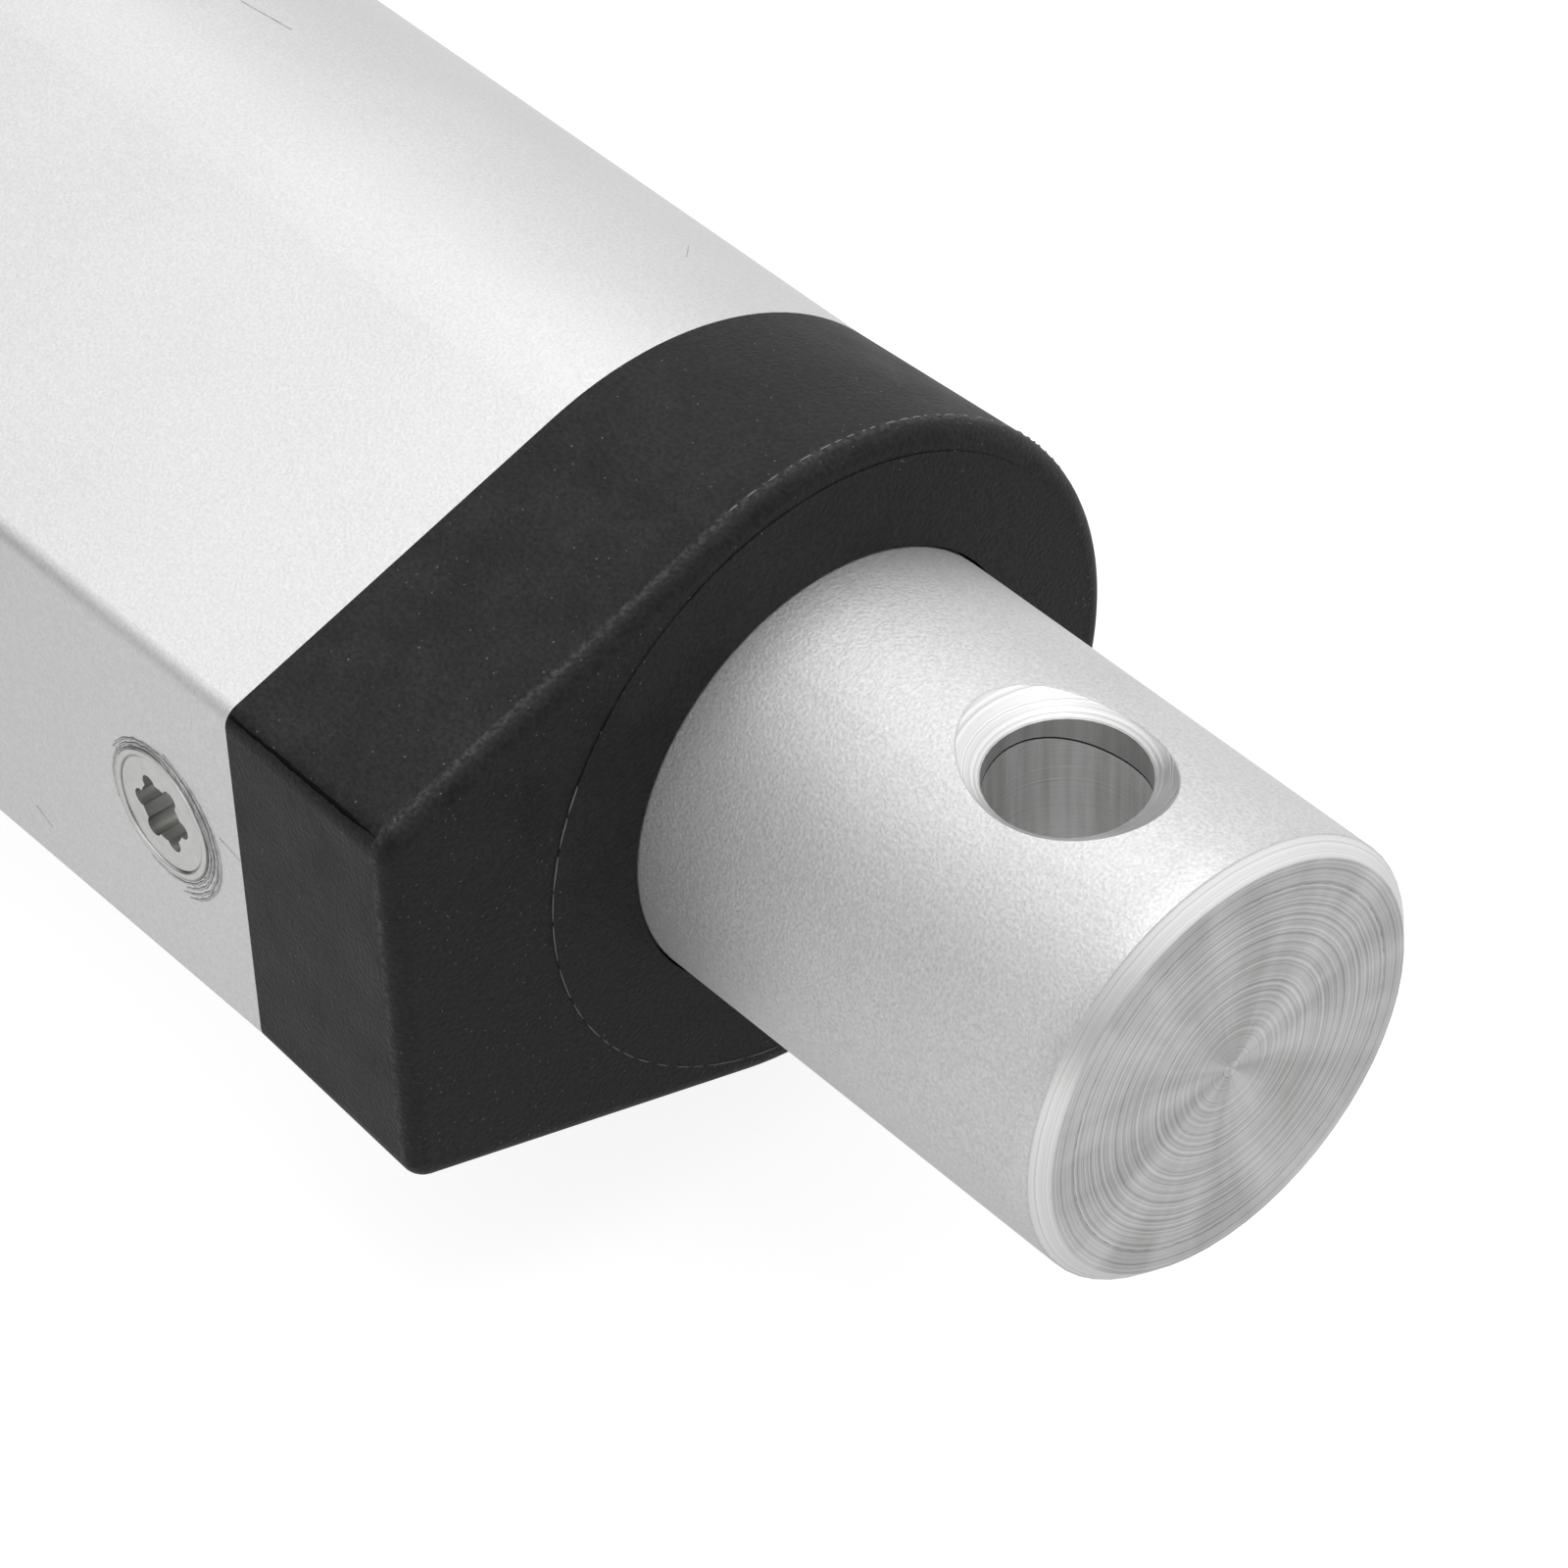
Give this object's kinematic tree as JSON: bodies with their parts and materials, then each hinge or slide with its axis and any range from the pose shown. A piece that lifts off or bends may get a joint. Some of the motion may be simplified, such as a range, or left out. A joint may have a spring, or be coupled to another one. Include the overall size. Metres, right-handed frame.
{
  "type": "electric linear actuator",
  "caption": "Electric linear actuator with a teardrop aluminium tube, round sliding rod with a cross hole, side-mounted motor, gearbox and rear lug.",
  "frame": {"origin": "centre of the rear eye", "axes": "+X along the rod towards its eye, +Z along the pins of both eyes, motor on the -Y side of the tube"},
  "size_m": [0.2234, 0.0805, 0.04],
  "materials": {
    "anodised_tube": "bead-blasted, clear anodised",
    "anodised_rod": "bead-blasted, clear anodised, ends machined bright",
    "turned_aluminium": "turned",
    "anodised_motor_tube": "bead-blasted, clear anodised",
    "cap_plastic": "moulded glass-filled nylon, matte black",
    "motor_cap_plastic": "moulded, matte black",
    "screw_steel": "nickel plated",
    "cover_screw_steel": "nickel plated",
    "painted_casting": "satin black powder coat",
    "gasket_rubber": "matte",
    "seal_rubber": "matte",
    "grommet_rubber": "matte",
    "acetal": "machined, white",
    "nylon_gear": "moulded, natural",
    "ground_steel": "ground",
    "spring_steel": "blackened",
    "rolled_steel": "rolled thread, greased",
    "bearing_steel": "polished",
    "zinc_plated_steel": "zinc plated",
    "ferrite": "sintered",
    "brush_carbon": "pressed carbon",
    "brass": "machined",
    "lamination_steel": "stacked laminations",
    "enamelled_copper": "enamelled wire",
    "commutator_copper": "turned copper",
    "circuit_board": "green solder mask",
    "switch_plastic": "moulded black",
    "plunger_plastic": "moulded red"
  },
  "bodies": {
    "housing": {"outer_tube": "anodised_tube", "front_cap": "cap_plastic", "wiper_seal": "seal_rubber", "guide_bush": "acetal", "tube_screws": "screw_steel", "gearbox_housing": "painted_casting", "gearbox_cover": "painted_casting", "gearbox_gasket": "gasket_rubber", "gearbox_screws": "cover_screw_steel", "idler_axle": "ground_steel", "idler_washers": "acetal", "rear_bearing_outer_ring": "bearing_steel", "front_bearing_outer_ring": "bearing_steel", "motor_can": "zinc_plated_steel", "motor_magnets": "ferrite", "motor_end_bell": "motor_cap_plastic", "motor_brushes": "brush_carbon", "motor_terminals": "brass", "motor_screws": "screw_steel", "motor_housing": "anodised_motor_tube", "motor_end_cap": "motor_cap_plastic", "motor_cap_seal": "seal_rubber", "cable_grommet": "grommet_rubber", "switch_board": "circuit_board", "rear_limit_switch": "switch_plastic", "front_limit_switch": "switch_plastic"},
    "rod": {"rod_tube": "anodised_rod", "rod_end_plug": "turned_aluminium", "drive_nut": "acetal", "nut_pins": "ground_steel"},
    "screw": {"lead_screw": "rolled_steel", "final_gear": "nylon_gear", "gear_key": "ground_steel", "spacer_sleeve": "ground_steel", "retaining_ring": "spring_steel", "screw_tip_guide": "acetal", "rear_bearing_inner_ring": "bearing_steel", "front_bearing_inner_ring": "bearing_steel", "rear_bearing_balls": "bearing_steel", "front_bearing_balls": "bearing_steel"},
    "idler": {"idler_gear": "nylon_gear"},
    "rotor": {"motor_shaft": "ground_steel", "armature_core": "lamination_steel", "armature_windings": "enamelled_copper", "commutator": "commutator_copper", "motor_pinion": "brass"},
    "rear_plunger": {"rear_switch_plunger": "plunger_plastic"},
    "front_plunger": {"front_switch_plunger": "plunger_plastic"}
  },
  "joints": [
    {"name": "motor_spin", "type": "hinge", "parent": "housing", "child": "rotor", "pos_m": [0, -0.0405, 0], "axis": [-1, 0, 0], "range_deg": [0, 189000.1]},
    {"name": "idler_spin", "type": "hinge", "parent": "housing", "child": "idler", "pos_m": [0, -0.0216, 0], "axis": [-1, 0, 0], "range_deg": [-54000.1, 0]},
    {"name": "screw_spin", "type": "hinge", "parent": "housing", "child": "screw", "pos_m": [0, 0, 0], "axis": [-1, 0, 0], "range_deg": [0, 18000.1]},
    {"name": "rod_slide", "type": "slide", "parent": "housing", "child": "rod", "axis": [1, 0, 0], "range_m": [0, 0.1]},
    {"name": "rear_switch_press", "type": "slide", "parent": "housing", "child": "rear_plunger", "axis": [-1, 0, 0], "range_m": [0, 0.0006], "stiffness_N_per_m": 400},
    {"name": "front_switch_press", "type": "slide", "parent": "housing", "child": "front_plunger", "axis": [1, 0, 0], "range_m": [0, 0.0006], "stiffness_N_per_m": 400}
  ],
  "couplings": [
    {"joint": "motor_spin", "follows": "rod_slide", "rad_per_m": 32987},
    {"joint": "idler_spin", "follows": "rod_slide", "rad_per_m": -9424.8},
    {"joint": "screw_spin", "follows": "rod_slide", "rad_per_m": 3141.6}
  ]
}
